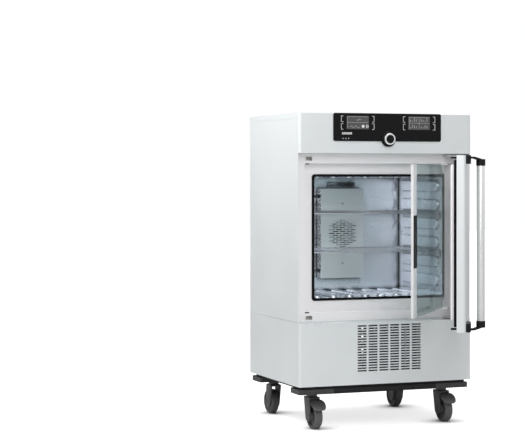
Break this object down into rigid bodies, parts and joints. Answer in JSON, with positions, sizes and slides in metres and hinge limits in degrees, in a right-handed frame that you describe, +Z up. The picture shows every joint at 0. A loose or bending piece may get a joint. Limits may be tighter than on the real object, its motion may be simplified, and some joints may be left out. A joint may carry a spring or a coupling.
{
  "type": "refrigerated incubator",
  "caption": "Tall cooled laboratory incubator on castors with an open outer door, an inner glass door, wire shelves and a control panel with a knob.",
  "frame": {"origin": "middle of the bounding box's footprint on the floor, with both doors open as pictured", "axes": "+Z up, +X to the right of someone facing the doors, +Y towards the rear"},
  "size_m": [0.745, 1.2137, 1.2352],
  "materials": {
    "case_steel": "satin",
    "frame_steel": "satin",
    "door_steel": "satin",
    "liner_steel": "satin",
    "shelf_steel": "satin",
    "zinc_steel": "satin",
    "base_paint": "satin",
    "tray_paint": "matte",
    "foam": "matte",
    "gasket_rubber": "matte",
    "door_gasket_rubber": "matte",
    "panel_plastic": "gloss",
    "display_plastic": "gloss",
    "key_plastic": "satin",
    "knob_black": "satin",
    "knob_metal": "satin",
    "shaft_steel": "polished",
    "board_green": "satin",
    "handle_black": "satin",
    "handle_metal": "satin",
    "pane_glass": "gloss",
    "profile_metal": "satin",
    "grip_black": "matte",
    "fitting_metal": "satin",
    "catch_black": "matte",
    "motor_metal": "satin",
    "fan_plastic": "matte",
    "compressor_paint": "satin",
    "inlet_black": "matte",
    "fork_grey": "satin",
    "wheel_grey": "matte",
    "pedal_grey": "satin"
  },
  "bodies": {
    "cabinet": {"upper_side_panels": "case_steel", "lower_side_panels": "case_steel", "top_cover": "case_steel", "rear_panel": "case_steel", "wall_spacers": "zinc_steel", "bottom_tray": "tray_paint", "control_fascia": "case_steel", "lower_front_panel": "case_steel", "front_frame": "frame_steel", "latch_strikes": "zinc_steel", "insulation": "foam", "chamber_liner": "liner_steel", "chamber_gasket": "gasket_rubber", "fan_baffle": "liner_steel", "panel_screws": "zinc_steel", "circulation_fan_motor": "motor_metal", "evaporator": "motor_metal", "sensor_guard": "shelf_steel", "control_panel": "panel_plastic", "display_windows": "display_plastic", "touch_keys": "key_plastic", "controller_board": "board_green", "knob_boss": "knob_black", "door_hinge_plates": "zinc_steel", "glass_door_pivots": "zinc_steel", "glass_door_catches": "catch_black", "corner_blocks": "base_paint", "base_rails": "base_paint", "compressor": "compressor_paint", "condenser": "motor_metal", "condenser_fan_motor": "motor_metal", "power_inlet": "inlet_black"},
    "outer_door": {"door_shell": "door_steel", "door_insulation": "foam", "door_inner_panel": "frame_steel", "door_gasket": "door_gasket_rubber", "handle_brackets": "handle_black"},
    "door_handle": {"handle_bar": "handle_metal", "handle_levers": "handle_black"},
    "glass_door": {"glass_pane": "pane_glass", "glass_edge_profile": "profile_metal", "glass_grip": "grip_black", "glass_door_fittings": "fitting_metal"},
    "upper_shelf": {"upper_shelf": "shelf_steel"},
    "lower_shelf": {"lower_shelf": "shelf_steel"},
    "knob_stem": {"knob_shaft": "shaft_steel"},
    "knob": {"knob_cap": "knob_black", "knob_ring": "knob_metal"},
    "circulation_fan": {"circulation_fan": "fan_plastic"},
    "condenser_fan": {"condenser_fan": "fan_plastic"},
    "castor_fork_front_left": {"castor_fork_front_left": "fork_grey"},
    "castor_wheel_front_left": {"castor_wheel_front_left": "wheel_grey"},
    "castor_fork_front_right": {"castor_fork_front_right": "fork_grey"},
    "castor_wheel_front_right": {"castor_wheel_front_right": "wheel_grey"},
    "castor_fork_rear_left": {"castor_fork_rear_left": "fork_grey"},
    "castor_wheel_rear_left": {"castor_wheel_rear_left": "wheel_grey"},
    "castor_fork_rear_right": {"castor_fork_rear_right": "fork_grey"},
    "castor_wheel_rear_right": {"castor_wheel_rear_right": "wheel_grey"},
    "brake_pedal_front_left": {"brake_pedal_front_left": "pedal_grey"},
    "brake_pedal_front_right": {"brake_pedal_front_right": "pedal_grey"}
  },
  "joints": [
    {"name": "outer_door_hinge", "type": "hinge", "parent": "cabinet", "child": "outer_door", "pos_m": [0.36, 0.03286, 0.746], "axis": [0, 0, 1], "range_deg": [-61, 52]},
    {"name": "glass_door_hinge", "type": "hinge", "parent": "cabinet", "child": "glass_door", "pos_m": [0.2936, 0.07286, 0.746], "axis": [0, 0, 1], "range_deg": [-51.3, 43.8]},
    {"name": "handle_latch", "type": "hinge", "parent": "outer_door", "child": "door_handle", "pos_m": [0.01451, -0.57598, 0.746], "axis": [0, 0, 1], "range_deg": [0, 14]},
    {"name": "upper_shelf_slide", "type": "slide", "parent": "cabinet", "child": "upper_shelf", "axis": [0, -1, 0], "range_m": [0, 0.03]},
    {"name": "lower_shelf_slide", "type": "slide", "parent": "cabinet", "child": "lower_shelf", "axis": [0, -1, 0], "range_m": [0, 0.03]},
    {"name": "knob_press", "type": "slide", "parent": "cabinet", "child": "knob_stem", "axis": [0, 1, 0], "range_m": [0, 0.002], "stiffness_N_per_m": 600},
    {"name": "knob_turn", "type": "hinge", "parent": "knob_stem", "child": "knob", "pos_m": [0.0054, 0.00986, 1.1339], "axis": [0, 1, 0], "continuous": true},
    {"name": "circulation_fan_spin", "type": "hinge", "parent": "cabinet", "child": "circulation_fan", "pos_m": [0.0015, 0.45886, 0.7483], "axis": [0, 1, 0], "continuous": true},
    {"name": "condenser_fan_spin", "type": "hinge", "parent": "cabinet", "child": "condenser_fan", "pos_m": [0.0112, 0.14286, 0.2685], "axis": [0, 1, 0], "continuous": true},
    {"name": "swivel_front_left", "type": "hinge", "parent": "cabinet", "child": "castor_fork_front_left", "pos_m": [-0.283, 0.11086, 0.14], "axis": [0, 0, 1], "continuous": true},
    {"name": "roll_front_left", "type": "hinge", "parent": "castor_fork_front_left", "child": "castor_wheel_front_left", "pos_m": [-0.283, 0.08486, 0.05], "axis": [1, 0, 0], "continuous": true},
    {"name": "swivel_front_right", "type": "hinge", "parent": "cabinet", "child": "castor_fork_front_right", "pos_m": [0.283, 0.11086, 0.14], "axis": [0, 0, 1], "continuous": true},
    {"name": "roll_front_right", "type": "hinge", "parent": "castor_fork_front_right", "child": "castor_wheel_front_right", "pos_m": [0.283, 0.08486, 0.05], "axis": [1, 0, 0], "continuous": true},
    {"name": "swivel_rear_left", "type": "hinge", "parent": "cabinet", "child": "castor_fork_rear_left", "pos_m": [-0.283, 0.52286, 0.14], "axis": [0, 0, 1], "continuous": true},
    {"name": "roll_rear_left", "type": "hinge", "parent": "castor_fork_rear_left", "child": "castor_wheel_rear_left", "pos_m": [-0.283, 0.54886, 0.05], "axis": [1, 0, 0], "continuous": true},
    {"name": "swivel_rear_right", "type": "hinge", "parent": "cabinet", "child": "castor_fork_rear_right", "pos_m": [0.283, 0.52286, 0.14], "axis": [0, 0, 1], "continuous": true},
    {"name": "roll_rear_right", "type": "hinge", "parent": "castor_fork_rear_right", "child": "castor_wheel_rear_right", "pos_m": [0.283, 0.54886, 0.05], "axis": [1, 0, 0], "continuous": true},
    {"name": "brake_front_left", "type": "hinge", "parent": "castor_fork_front_left", "child": "brake_pedal_front_left", "pos_m": [-0.283, 0.11086, 0.11], "axis": [1, 0, 0], "range_deg": [0, 5]},
    {"name": "brake_front_right", "type": "hinge", "parent": "castor_fork_front_right", "child": "brake_pedal_front_right", "pos_m": [0.283, 0.11086, 0.11], "axis": [1, 0, 0], "range_deg": [0, 5]}
  ],
  "couplings": [
    {"joint": "glass_door_hinge", "follows": "outer_door_hinge", "ratio": 0.84098}
  ]
}
